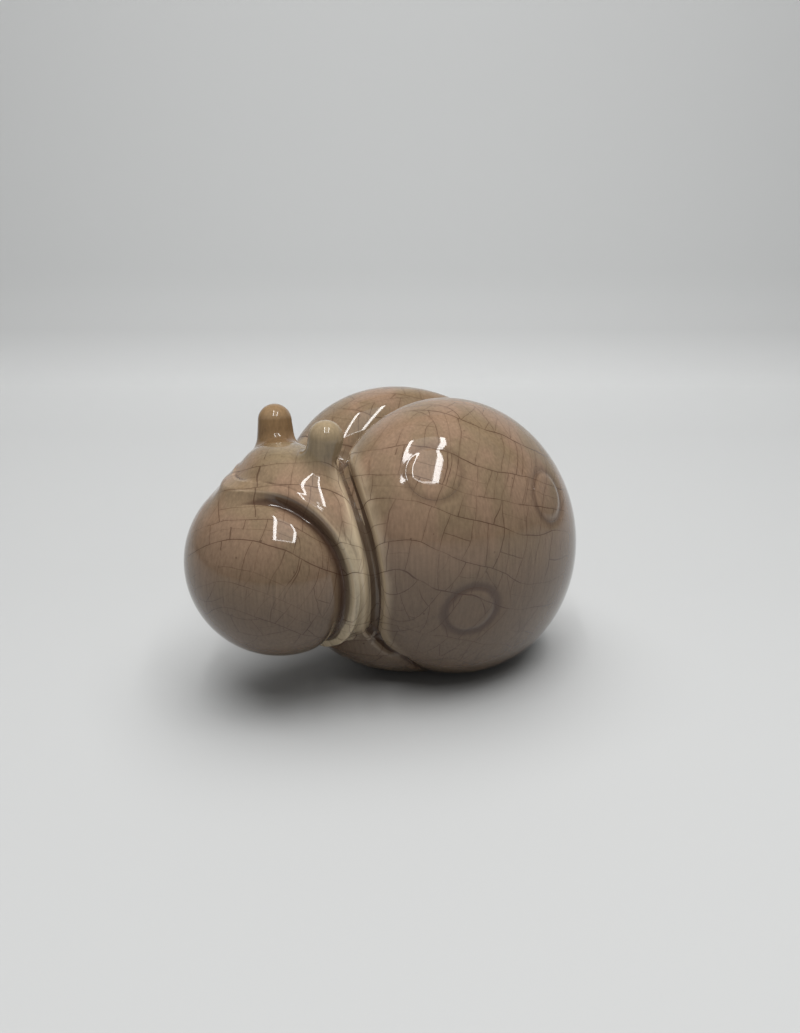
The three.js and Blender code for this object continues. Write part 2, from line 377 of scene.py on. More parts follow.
def halves(p, discs):
    """Heights over the head, collar and belly together and over the pair of wings, with slip in their
    creases, and the depth of the channel between the two halves."""
    heights, strength, depth = members(p, discs)
    front = merged(heights[COLLAR], heights[HEAD], SLIP + HOOD_FILLET * (1 - strength))
    wings = merged(heights[LEFT_WING], heights[RIGHT_WING], SLIP)
    return merged(front, heights[BELLY], BELLY_FILLET), wings, depth


def luted(front, wings, p):
    """The lower of the two halves' heights, with more slip in their crease near the mid-plane."""
    return merged(front, wings, SLIP + MIDDLE_FILLET * fade(CHANNEL_MIDDLE[1], 0, np.abs(p[..., 0])))


def skin(p, discs=False):
    """Height over the whole glazed skin: the two halves, with the channel between them and a flat foot."""
    front, wings, depth = halves(p, discs)
    return -merged(-luted(front, wings, p) - depth, p[..., 2], SLIP)


def disc_skin(p):
    """Height over the skin with the discs of the spots in their beds."""
    return skin(p, True)


def owner(p):
    """The member that each point of the skin belongs to: the lowest, or the belly below the wings' seat."""
    lowest = np.argmin(members(p, False)[0], axis=0)
    is_wing = (lowest == LEFT_WING) | (lowest == RIGHT_WING)
    return np.where(is_wing & (p[..., 2] < WING_SEAT), BELLY, lowest)


# Wing cases
# Two hollow egg-shaped lobes of cast earthenware, luted together along the back and seated on the belly.
# Brown crackle glaze runs over them: it breaks pale on the rolled edges and pools dark in the grooves, where
# painted shade darkens it further.
MM = 0.001
WALL = 4
RAY_NEAR = 4
LONG_STRIDE = 0.8
SHORT_STRIDE = 0.35
SHALLOW = 6
LEAST_STRIDE = 0.06
HALVINGS = 10
SCAN_STEPS = 80
SCAN_HALVINGS = 12
COARSE_ROWS = 5
COARSE_COLUMNS = 4
TUCK_ANGLE = 0.012
TUCK_DEPTH = 0.25
THIN_REACH = (7.5, 3)
THIN_TOP = (5, 1)
LOOKS = ("bend", "thin", "pool_shade")
# The dark band along the collar's rim: pooled glaze and painted shade in the groove
RIM_SHADED_POOL = (-0.9, -0.3)
RIM_SHADED_POOL_FADE = (6.6, 0.6)


def meet(field, start, direction, near=RAY_NEAR, marches=30):
    """Where rays first leave a solid: long strides while deep below the skin, short ones near it until one
    comes out, then the last stride is halved."""
    inside = np.full(direction.shape[:-1], float(near))
    reached = inside
    for _ in range(marches):
        depth = -field(start + direction * reached[..., None])
        inside = np.where(depth > 0, reached, inside)
        stride = np.maximum(LONG_STRIDE * (depth - SHALLOW), np.maximum(SHORT_STRIDE * depth, LEAST_STRIDE))
        reached = np.where(depth > 0, reached + stride, reached)
    for _ in range(HALVINGS):
        middle = (inside + reached) / 2
        within = field(start + direction * middle[..., None]) < 0
        inside = np.where(within, middle, inside)
        reached = np.where(within, reached, middle)
    return start + direction * inside[..., None]


def turns(columns):
    """Equal turns round an axis, one for each column of a grid."""
    return np.arange(columns) * 2 * np.pi / columns


def aim(axis, across, polar, turn):
    """Directions at a polar angle from an axis and a turn round it, counted from a direction across it."""
    axis = np.array(axis) / np.linalg.norm(axis)
    across = across - axis * np.dot(axis, across)
    across = across / np.linalg.norm(across)
    turn = np.broadcast_to(turn, polar.shape)
    flat = np.cos(turn)[..., None] * across + np.sin(turn)[..., None] * np.cross(axis, across)
    return np.cos(polar)[..., None] * axis + np.sin(polar)[..., None] * flat


def seam(start, axis, across, columns, inside, low, high, field=skin):
    """The polar angle at which a test of the skin first fails, for each turn: a coarse scan from low to
    high, then the stretch that holds the change is halved."""
    turn = turns(columns)
    scan = low + (high - low) * np.linspace(0, 1, SCAN_STEPS)[:, None] + 0 * turn
    outside = ~inside(meet(field, start, aim(axis, across, scan, turn)))
    first = np.maximum(np.where(outside.any(axis=0), outside.argmax(axis=0), len(scan) - 1), 1)
    own = np.take_along_axis(scan, first[None] - 1, axis=0)[0]
    other = np.take_along_axis(scan, first[None], axis=0)[0]
    for _ in range(SCAN_HALVINGS):
        middle = (own + other) / 2
        kept = inside(meet(field, start, aim(axis, across, middle, turn)))
        own = np.where(kept, middle, own)
        other = np.where(kept, other, middle)
    return own


def rings(start, axis, across, low, high, columns, rows, pole, field=skin):
    """Points of the skin on rings from one polar angle to another, which may change round the axis.
    Each open end has one ring more, tucked under the piece next to it."""
    polar = low + (high - low) * np.linspace(0, 1, rows + 1)[:, None] + np.zeros(columns)
    polar = np.concatenate((polar, polar[-1:] + TUCK_ANGLE))
    sunk = np.zeros(polar.shape)
    sunk[-1] = TUCK_DEPTH
    if not pole:
        polar = np.concatenate((polar[:1] - TUCK_ANGLE, polar))
        sunk = np.concatenate((sunk[-1:], sunk))
    ray = aim(axis, across, polar, turns(columns))
    return meet(field, start, ray) - sunk[..., None] * ray


def inner_wall(outer, start):
    """Every few points of a grid, moved in by the wall towards the start of its rays."""
    coarse = outer[::COARSE_ROWS, ::COARSE_COLUMNS]
    return coarse + (start - coarse) * WALL / np.linalg.norm(coarse - start, axis=-1, keepdims=True)


def mirrored(grid):
    """A grid on the other side of the mid-plane, its columns turned back so that faces still point out."""
    return grid[:, -np.arange(grid.shape[1])] * MIRROR


def belongs(member):
    """A test of whether points of the skin belong to a member."""
    return lambda p: owner(p) == member


def bend(field, p, reach=1.2):
    """How sharply the skin bends, per mm: the Laplacian of its height over a small cross of points.
    It is above 0 on edges and crests and below 0 in grooves."""
    total = -6 * field(p)
    for step in np.eye(3) * reach:
        total = total + field(p + step) + field(p - step)
    return total / reach ** 2


def pool_and_shade(p):
    """How thick the glaze stands and how much painted shade darkens it, from 0 to 1: in the ring grooves of
    the spots, in the channel and in the groove along the collar's rim, where it ends sharply at the lip and
    thins out over the head."""
    _, strength, depth = members(p, True)
    ahead, _ = rim(p)
    along_rim = strength * fade(*RIM_SHADED_POOL, ahead) * fade(*RIM_SHADED_POOL_FADE, ahead)
    return sum(bell for _, bell in spot_rings(p)) + depth / CHANNEL_DEPTH + along_rim


def thinness(p):
    """How thin the glaze is beside the channel between wings and front: 1 at its crease, 0 far from it
    and on the antennae above it."""
    collar, belly = above(collar_egg, p), above(belly_egg, p)
    wings = np.minimum(*(above(form, p) for form in wing_eggs))
    lowest = np.minimum(np.minimum(collar, belly), wings)
    return fade(*THIN_REACH, crease(p, collar, belly, wings)) * fade(*THIN_TOP, lowest)


def numbered(grid, first, pole):
    """The points of a grid of rings and their numbers; a pole draws the first ring together in one point."""
    rows, columns = grid.shape[:2]
    if not pole:
        return grid.reshape(-1, 3), first + np.arange(rows * columns).reshape(rows, columns)
    number = first + 1 + np.arange((rows - 1) * columns).reshape(rows - 1, columns)
    number = np.concatenate((np.full((1, columns), first), number))
    return np.concatenate((grid[0, :1], grid[1:].reshape(-1, 3))), number


def shell(name, outer, inner, pole, field=disc_skin):
    """A closed wall from an outer grid of rings and a coarser inner one, joined along their open rims."""
    outer_points, outer_number = numbered(outer, 0, pole)
    inner_points, inner_number = numbered(inner, len(outer_points), pole)
    step = outer.shape[1] // inner.shape[1]
    starts = np.arange(inner.shape[1])[:, None] * step + np.arange(step + 1)

    def quads(number):
        """Faces between each ring and the next one, with triangles at a pole."""
        after = np.roll(number, -1, axis=1)
        ring = np.stack((number[:-1], number[1:], after[1:], after[:-1]), axis=-1)
        return [ring[0][:, :3], ring[1:].reshape(-1, 4)] if pole else [ring.reshape(-1, 4)]

    def join(row):
        """Faces from a rim of the outer grid to the inner one's, each over a few outer columns."""
        along = outer_number[row][starts % outer.shape[1]]
        below = np.stack((np.roll(inner_number[row], -1), inner_number[row]), axis=1)
        return np.concatenate((along, below), axis=1)

    faces = quads(outer_number) + [group[:, ::-1] for group in quads(inner_number)] + [join(-1)[:, ::-1]]
    rims = [outer_number[-2:].ravel()]
    if not pole:
        faces.append(join(0))
        rims.append(outer_number[:2].ravel())
    points = np.concatenate((outer_points, inner_points))
    corners = np.concatenate([group.ravel() for group in faces])
    sizes = np.concatenate([np.full(len(group), group.shape[1]) for group in faces])
    mesh = bpy.data.meshes.new(name)
    mesh.vertices.add(len(points))
    mesh.loops.add(len(corners))
    mesh.polygons.add(len(sizes))
    mesh.vertices.foreach_set("co", (points * MM).ravel())
    mesh.loops.foreach_set("vertex_index", corners.astype(np.int32))
    mesh.polygons.foreach_set("loop_start", (np.cumsum(sizes) - sizes).astype(np.int32))
    mesh.update(calc_edges=True)
    mesh.shade_smooth()
    on_rim = np.zeros(len(points), bool)
    on_rim[np.concatenate(rims)] = True
    ends = np.zeros(2 * len(mesh.edges), np.int32)
    mesh.edges.foreach_get("vertices", ends)
    mesh.edges.foreach_set("use_edge_sharp", on_rim[ends.reshape(-1, 2)].all(axis=1))
    within = np.zeros(len(inner_points))
    looks = (bend(field, outer_points), thinness(outer_points), pool_and_shade(outer_points))
    for look, values in zip(LOOKS, looks):
        values = np.concatenate((values, within)).astype(np.float32)
        mesh.attributes.new(look, "FLOAT", "POINT").data.foreach_set("value", values)
    return put(name, mesh)


def dress(piece, node, material):
    """Fixes a piece to the figurine, in the place of a CAD node and in the finish of a record slot."""
    piece.data.materials.append(material)
    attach(piece, "root")
    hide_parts(node)


def vector(operation, first, second, output=0):
    """Adds a Vector Math node to two vectors."""
    return first.node("ShaderNodeVectorMath", {"operation": operation}, {0: first, 1: second}, output)


def times(colour, factor):
    """A colour or a vector, scaled."""
    return colour.node("ShaderNodeVectorMath", {"operation": "SCALE"}, {0: colour, "Scale": factor})


def ease(value, start, end):
    """0 before start and 1 after end, with a smooth step between them, or the other way round."""
    limits = {"Value": value, "From Min": start, "From Max": end}
    return value.node("ShaderNodeMapRange", {"interpolation_type": "SMOOTHSTEP"}, limits)


def noise(place, sizes, detail=2, output=0):
    """Cloudy noise whose clouds have these sizes in mm, along the three axes or one for all."""
    at = vector("DIVIDE", place, np.broadcast_to(sizes, 3).tolist())
    return at.node("ShaderNodeTexNoise", {}, {"Vector": at, "Scale": 1, "Detail": detail}, output)


def screen(red, green, blue):
    """A colour as a screen shows it, from 0 to 255, as linear light by the sRGB curve."""
    share = np.array((red, green, blue)) / 255
    return (*np.where(share < 0.04045, share / 12.92, ((share + 0.055) / 1.055) ** 2.4).tolist(), 1)


def chance(number):
    """A random value from 0 to 1 for each number: a whole number plus a fraction gives another draw."""
    return number.node("ShaderNodeTexWhiteNoise", {"noise_dimensions": "1D"}, {"W": number})


def leaning(way, other, share):
    """A direction leaned towards another by a share that may change over the surface."""
    leant = share.node("ShaderNodeVectorMath", {"operation": "MULTIPLY_ADD"}, {0: share, 1: other, 2: way})
    return leant.node("ShaderNodeVectorMath", {"operation": "NORMALIZE"}, {0: leant})


CRACK_WAYS = Euler((0.42, 0.35, 0.7)).to_matrix()
CRACK_SIZES = (12, 9.5, 10.5)
CRACK_LEAN = 1.4
CRACK_WARPS = ((60, 30), (17, 4), (3, 0.35))
UNEVEN_RATE = 0.6
UNEVEN_SHARE = 0.9
LEAST_SINE = 0.2
FLAT_SINES = (0.5, 0.3)
MAIN_CRACK = (0.27, 0.05)
SIDE_CRACK = (0.24, 0.04)
FINE_CRACK = (0.22, 0.04)
BAR_STRENGTH = 0.9
BLOCK_STRENGTH = 0.85
LAYER_STRIDE = 37
BAR_STRIDE = 41
LEAN_DRAW = 0.25
SPLIT_DRAW = 0.5
SPLIT_CHANCE = (0.5, 0.51)
SPLIT_STRENGTH = 0.6
SECOND_SPLIT_CHANCE = (0.6, 0.61)
SECOND_SPLIT_STRENGTH = 0.5


def sheets(place, facing, way, size, shift):
    """Cracks along sheets square to a direction, about a size in mm apart: the distance from the nearest
    sheet and from the nearest middle between two, along the surface, and the number of the layer. A
    distance is divided by the sine of the sheet's angle to the surface, so that all cracks look equally
    wide, and sheets that lie nearly flat against the surface leave none."""
    at = vector("DOT_PRODUCT", place, way, "Value") / size + shift
    uneven = {"W": at, "Scale": UNEVEN_RATE, "Detail": 0}
    at = at + UNEVEN_SHARE * at.node("ShaderNodeTexNoise", {"noise_dimensions": "1D"}, uneven)
    part = at.math("FRACT", at)
    slant = vector("DOT_PRODUCT", facing, way, "Value")
    sine = at.math("SQRT", at.math("MAXIMUM", 1 - slant * slant, LEAST_SINE ** 2))
    middle = at.math("ABSOLUTE", part - 0.5)
    scale = size / sine
    faint = ease(sine, *FLAT_SINES)
    return (0.5 - middle) * scale + faint, middle * scale + faint, at.math("FLOOR", at)


def crackle(place, facing):
    """Three nested networks of cracks on a place that is drawn about: layers, bars across each layer, and
    blocks across each bar, some of them split once more. Gives the cracks and the distance from them."""
    drawn = place
    for size, reach in CRACK_WARPS:
        drawn = vector("ADD", drawn, times(noise(place, size, detail=1, output=1), reach))
    far_one, half_one, layer = sheets(drawn, facing, CRACK_WAYS[2], CRACK_SIZES[0], 0)
    second_way = leaning(CRACK_WAYS[0], CRACK_WAYS[1], CRACK_LEAN * (chance(layer + LEAN_DRAW) - 0.5))
    far_two, half_two, bar = sheets(drawn, facing, second_way, CRACK_SIZES[1], chance(layer))
    bar = layer * LAYER_STRIDE + bar
    third_way = leaning(CRACK_WAYS[1], CRACK_WAYS[0], CRACK_LEAN * (chance(bar + LEAN_DRAW) - 0.5))
    far_three, _, block = sheets(drawn, facing, third_way, CRACK_SIZES[2], chance(bar))
    block = bar * BAR_STRIDE + block
    split = ease(chance(block), *SPLIT_CHANCE) * SPLIT_STRENGTH
    second_split = ease(chance(block + SPLIT_DRAW), *SECOND_SPLIT_CHANCE) * SECOND_SPLIT_STRENGTH
    crack = ease(far_one, *MAIN_CRACK)
    side_cracks = ((far_two, SIDE_CRACK, BAR_STRENGTH), (far_three, SIDE_CRACK, BLOCK_STRENGTH))
    fine_cracks = ((half_one, FINE_CRACK, split), (half_two, FINE_CRACK, second_split))
    for far, edge, strength in side_cracks + fine_cracks:
        crack = crack.math("MAXIMUM", crack, ease(far, *edge) * strength)
    nearest = crack.math("MINIMUM", crack.math("MINIMUM", far_one, far_two), far_three)
    return crack, nearest


# Colours of the glaze, sizes in mm of the patterns in it, and where and how far each of them shows
ROSE = screen(134, 110, 90)
OLIVE = screen(124, 105, 83)
# Low on the body the brown darkens with height: painted shade
SHADED_LOW_BROWN = screen(101, 83, 66)
PALE = screen(194, 175, 147)
# A dark glaze colour for specks and pools; in grooves it also serves as painted shade
DARK_GLAZE_AND_SHADE = screen(66, 46, 36)
CRACK = screen(66, 42, 30)
BARE_CLAY = screen(188, 166, 136)
BROWN_SHADE_HEIGHTS = (45, 95)
PATCHES = (19, 19, 30)
PATCH_EDGE = (0.4, 0.6)
RUNS = (0.9, 0.9, 14)
CLOUDS = (9, 9, 12)
GRAIN = 1.2
BLOTCHES = 14
LEAST_TONE = 0.44
RUN_TONE = 0.6
CLOUD_TONE = 0.24
GRAIN_TONE = 0.28
EDGE_WANDER = 0.16
EDGE_PALE = 0.7
THIN_CLOUDS = (0.15, 0.55)
THIN_PALE = 0.62
WORN_HEIGHTS = (14, 42)
# Darkening in grooves and pools: partly pooled glaze, partly painted shade
GROOVE_SHADE_BENDS = (-0.03, -0.3)
GROOVE_SHADE_DARK = 0.8
SHADED_POOL_DEPTHS = (0.25, 1)
SHADED_POOL_DARK = 0.7
SPECK_SPACING = 4.5
SPECK_EDGE = (0.13, 0.06)
SPECK_BLOTCHES = (0.5, 0.62)
SPECK_DARK = 0.6
CRAZED_FADE = 6
CRAZED_BLOTCHES = (0.36, 0.56)
CRAZED_LEAST = 0.4
CRACK_DARK = 0.8
STAIN_REACH = (1.6, 0.2)
STAIN_DARK = 0.1
WIPED_HEIGHTS = (0.5, 0.25)
DIMPLES = 5
DIMPLE_DEPTH = 0.03
SWELLS = 18
SWELL_DEPTH = 0.12
CRACK_DEPTH = 0.03
GLOSS_ROUGHNESS = 0.2
CLOUD_ROUGHNESS = 0.14
CRACK_ROUGHNESS = 0.15
CLAY_ROUGHNESS = 0.4
COAT_ROUGHNESS = 0.045


def brown(place, height):
    """Pinkish and olive brown in soft patches, darker towards the foot as painted shade."""
    patches = ease(noise(place, PATCHES), *PATCH_EDGE)
    # painted shade: the brown darkens towards the foot
    return mix(ease(height, *BROWN_SHADE_HEIGHTS), SHADED_LOW_BROWN, mix(patches, ROSE, OLIVE))


def glaze(name, tint, pale_from, pale_to, crazed_top):
    """Glossy crackle glaze: a tint with runs, specks and clouds in it, pale where the skin bends outward or
    the glaze is thin, dark where it pools in a groove and with painted shade there, and crazed with fine
    cracks up to a height."""
    material, surface = painted(name)
    place = times(surface.node("ShaderNodeTexCoord", {}, {}, "Object"), 1 / MM)
    facing = surface.node("ShaderNodeNewGeometry", {}, {}, "Normal")
    looks = (surface.node("ShaderNodeAttribute", {"attribute_name": look}, {}, "Fac") for look in LOOKS)
    bent, thin, pool_shade = looks
    height = surface.node("ShaderNodeSeparateXYZ", {}, {0: place}, "Z")
    clouds = noise(place, CLOUDS, detail=3)
    blotches = noise(place, BLOTCHES)

    runs = noise(place, RUNS, detail=3)
    grain = noise(place, GRAIN)
    tone = LEAST_TONE + RUN_TONE * runs + CLOUD_TONE * clouds + GRAIN_TONE * grain
    colour = times(tint(place, height), tone)
    edge = ease(bent + EDGE_WANDER * (clouds - 0.5), pale_from, pale_to) * EDGE_PALE
    worn = surface.math("MAXIMUM", edge, thin * ease(clouds, *THIN_CLOUDS) * THIN_PALE)
    colour = mix(worn * ease(height, *WORN_HEIGHTS), colour, PALE)
    # Grooves and pools darkened: pooled glaze and painted shade
    groove = ease(bent, *GROOVE_SHADE_BENDS) * GROOVE_SHADE_DARK
    colour = mix(surface.math("MAXIMUM", groove, ease(pool_shade, *SHADED_POOL_DEPTHS) * SHADED_POOL_DARK), colour, DARK_GLAZE_AND_SHADE)
    seeds = {"Vector": times(place, 1 / SPECK_SPACING), "Scale": 1}
    seed = surface.node("ShaderNodeTexVoronoi", {}, seeds, "Distance")
    speck = ease(seed, *SPECK_EDGE) * ease(blotches, *SPECK_BLOTCHES)
    colour = mix(speck * SPECK_DARK, colour, DARK_GLAZE_AND_SHADE)

    crack, nearest = crackle(place, facing)
    strong = CRAZED_LEAST + (1 - CRAZED_LEAST) * ease(blotches, *CRAZED_BLOTCHES)
    strong = strong * ease(height, crazed_top, crazed_top - CRAZED_FADE)
    crack = crack * strong
    stain = ease(nearest, *STAIN_REACH) * strong * STAIN_DARK
    colour = mix(surface.math("MAXIMUM", crack * CRACK_DARK, stain), colour, CRACK)
    bare = ease(height, *WIPED_HEIGHTS)
    colour = mix(bare, colour, BARE_CLAY)

    peel = noise(place, DIMPLES, detail=1) * DIMPLE_DEPTH + noise(place, SWELLS, detail=1) * SWELL_DEPTH
    relief = {"Height": peel - crack * CRACK_DEPTH, "Distance": MM, "Strength": 1}
    roughness = GLOSS_ROUGHNESS + CLOUD_ROUGHNESS * clouds + CRACK_ROUGHNESS * crack + CLAY_ROUGHNESS * bare
    shade(surface, {
        "Base Color": colour,
        "Roughness": roughness,
        "Coat Weight": 1 - bare,
        "Normal": surface.node("ShaderNodeBump", {}, relief),
        "Specular IOR Level": 0,
        "Coat Roughness": COAT_ROUGHNESS,
    })
    return material


BROWN_EDGE = (0.25, 0.7)
ABOVE_ALL = 200
brown_glaze = glaze("brown_glaze", brown, *BROWN_EDGE, ABOVE_ALL)

WING_AXIS = np.array((0.8, 0.25, 0.35))
UP = np.array((0.0, 0, 1))
WING_COLUMNS = 400
WING_ROWS = 119
WING_SCAN = (0.02, 2.9)
wing_edge = seam(WING_CENTRE, WING_AXIS, UP, WING_COLUMNS, belongs(LEFT_WING), *WING_SCAN)
wing_grid = rings(WING_CENTRE, WING_AXIS, UP, 0, wing_edge, WING_COLUMNS, WING_ROWS, True)
wing_lining = inner_wall(wing_grid, WING_CENTRE)
left_wing = shell("left_wing_case_skin", wing_grid, wing_lining, True)
dress(left_wing, "left_wing_case", brown_glaze)
right_wing = shell("right_wing_case_skin", mirrored(wing_grid), mirrored(wing_lining), True)
dress(right_wing, "right_wing_case", brown_glaze)

# Spots
# Six round discs of the same clay, let into shallow beds in the wing cases so that they lie flush.
# The tool that cut the beds left a soft ring groove, in which the glaze pools; painted shade darkens it
# further.
SPOT_LAP = 0.1
SPOT_TUCK = 0.2
SPOT_TUCK_WIDTH = 0.3
SPOT_GAP = 0.3
SPOT_COLUMNS = 96
SPOT_ROWS = 29

for spot, (place, facing) in spot_places.items():
    radius = np.linspace(0, SPOT_RADIUS, SPOT_ROWS + 1)
    radius = np.append(radius, SPOT_RADIUS + SPOT_TUCK_WIDTH)[:, None]
    flat = aim(facing, UP, np.full(SPOT_COLUMNS, np.pi / 2), turns(SPOT_COLUMNS))
    foot = place + radius[..., None] * flat - SPOT_RADIUS * facing
    upright = np.broadcast_to(facing, foot.shape)
    disc = meet(disc_skin, foot, upright, 0) + SPOT_LAP * upright
    disc[-1] -= (SPOT_LAP + SPOT_TUCK) * facing
    lining = (disc - upright * (SPOT_BED - SPOT_GAP))[::COARSE_ROWS, ::COARSE_COLUMNS]
    left = shell(f"left_{spot}_disc", disc, lining, True)
    dress(left, f"left_{spot}", brown_glaze)
    right = shell(f"right_{spot}_disc", mirrored(disc), mirrored(lining), True)
    dress(right, f"right_{spot}", brown_glaze)

# Belly dish
# The underside and breast of the casting, with a flat foot to stand on and a hole in it that let
# the steam out of the hollow in the kiln. The foot was wiped clean of glaze before firing.
VENT_RADIUS = 7
BELLY_START = np.array((0, 20.62, 30))
BELLY_COLUMNS = 288
BELLY_ROWS = 68
BELLY_SCAN_END = 2.2
DOWN = -UP
FORWARD = np.array((0.0, -1, 0))
vent_edge = np.arctan2(VENT_RADIUS, BELLY_START[2])
belly_edge = seam(BELLY_START, DOWN, FORWARD, BELLY_COLUMNS, belongs(BELLY), vent_edge, BELLY_SCAN_END)
belly_grid = rings(BELLY_START, DOWN, FORWARD, vent_edge, belly_edge, BELLY_COLUMNS, BELLY_ROWS, False)
belly = shell("belly_dish_skin", belly_grid, inner_wall(belly_grid, BELLY_START), False)
dress(belly, "belly_dish", brown_glaze)

# Head
# A hollow ball without a face, cast like the wings and set into the collar from the front.
# It carries the same brown glaze, with dark glaze pooled in the groove along the collar's rim, partly
# painted shade.
HEAD_COLUMNS = 320
HEAD_ROWS = 99
HEAD_SCAN = (0.02, 2.6)
head_edge = seam(HEAD_CENTRE, FORWARD, UP, HEAD_COLUMNS, belongs(HEAD), *HEAD_SCAN)
head_grid = rings(HEAD_CENTRE, FORWARD, UP, 0, head_edge, HEAD_COLUMNS, HEAD_ROWS, True)
head = shell("head_skin", head_grid, inner_wall(head_grid, HEAD_CENTRE), True)
dress(head, "head", brown_glaze)

# Collar
# A hood of clay wrapped round the neck, from a narrow band under the chin to a hump over the head.
# A paler khaki glaze was brushed over its flanks and rim, and the brown one shows through on top.
COLLAR_START = np.array((0, -40.0, 58))
COLLAR_COLUMNS = 400
COLLAR_ROWS = 88
COLLAR_SCAN_START = 0.004
COLLAR_SCAN_END = 2.9
KHAKI = screen(160, 146, 122)
LOW_KHAKI = screen(198, 181, 152)
OCHRE = screen(126, 100, 70)
OLIVE_CREAM = screen(138, 121, 95)
BRUSH_WANDER = 18
BRUSH_PATCHES = 16
BREAST_BACK = (-31, -25)
BREAST_TOP = (46, 32)
FLANK_TOP = (88, 72)
LOW_FLANK = (52, 30)
# The hood's top is lightened with height: painted light
LIT_CROWN_HEIGHTS = (60, 85)
CROWN_PAINTED_LIGHT = 0.15
STUB_FOOT = (93, 106)
STUB_SIDES = (-12, 8)
STUB_WANDER = 30
STUB_STREAKS = (5, 5, 12)
# The antennae darken below their tops: painted shade
STUB_SHADE = (100, 114)
STUB_SHADE_DARKEST = 0.76
KHAKI_EDGE = (0.2, 0.7)
CRAZED_TOP = 106


def khaki(place, height):
    """Brown on the hood's top, lightened there with painted light, khaki on its flanks, paler low down,
    olive and ochre on the antennae, darker below their tops with painted shade.
    """
    brushed_height = height + BRUSH_WANDER * (noise(place, BRUSH_PATCHES) - 0.5)
    side, back = (place.node("ShaderNodeSeparateXYZ", {}, {0: place}, axis) for axis in "XY")
    breast = ease(back, *BREAST_BACK) * ease(height, *BREAST_TOP)
    flank = ease(brushed_height, *FLANK_TOP) * (1 - breast)
    # painted light on the hood's top
    crown = times(brown(place, height), 1 + CROWN_PAINTED_LIGHT * ease(height, *LIT_CROWN_HEIGHTS))
    hood = mix(flank, crown, mix(ease(height, *LOW_FLANK), KHAKI, LOW_KHAKI))
    side = side + STUB_WANDER * (noise(place, STUB_STREAKS) - 0.5)
    stubs = mix(ease(side, *STUB_SIDES), OCHRE, OLIVE_CREAM)
    # painted shade on the antennae below their tops
    stubs = times(stubs, STUB_SHADE_DARKEST + (1 - STUB_SHADE_DARKEST) * ease(height, *STUB_SHADE))
    return mix(ease(brushed_height, *STUB_FOOT), hood, stubs)


khaki_glaze = glaze("khaki_glaze", khaki, *KHAKI_EDGE, CRAZED_TOP)
collar_front = seam(COLLAR_START, FORWARD, UP, COLLAR_COLUMNS, belongs(HEAD), *HEAD_SCAN)
back_scan = (collar_front + COLLAR_SCAN_START, COLLAR_SCAN_END)
collar_back = seam(COLLAR_START, FORWARD, UP, COLLAR_COLUMNS, belongs(COLLAR), *back_scan)
collar_edges = (collar_front, collar_back)
collar_grid = rings(COLLAR_START, FORWARD, UP, *collar_edges, COLLAR_COLUMNS, COLLAR_ROWS, False)
collar = shell("collar_skin", collar_grid, inner_wall(collar_grid, COLLAR_START), False)
dress(collar, "collar", khaki_glaze)

# Antennae
# Two round-topped stubs of clay, luted on the hood with a smooth fillet of slip.
# They were rolled by hand, so the right one is stouter and stands a little further forward.
LEFT_STUB = {
    "side": 1, "bearing": -32.2, "elevation": 60.7, "back": 9,
    "neck": 6.1, "top": 6.4, "fillet": 6,
}
RIGHT_STUB = {
    "side": -1, "bearing": -37.3, "elevation": 59.5, "back": 3,
    "neck": 7.7, "top": 6.7, "fillet": 5,
}
ANTENNA_HEIGHT = 16.5
ANTENNA_SPLAY = 8
ANTENNA_ROOT = 14
ANTENNA_COLUMNS = 96
ANTENNA_ROWS = 89
ANTENNA_MARCHES = 80
ANTENNA_LAP = 0.04
ANTENNA_SCAN = (0.01, 1.3)
ROOT_NEAR = 1
FAN_STEPS = 401
FAN_COLUMNS = 16

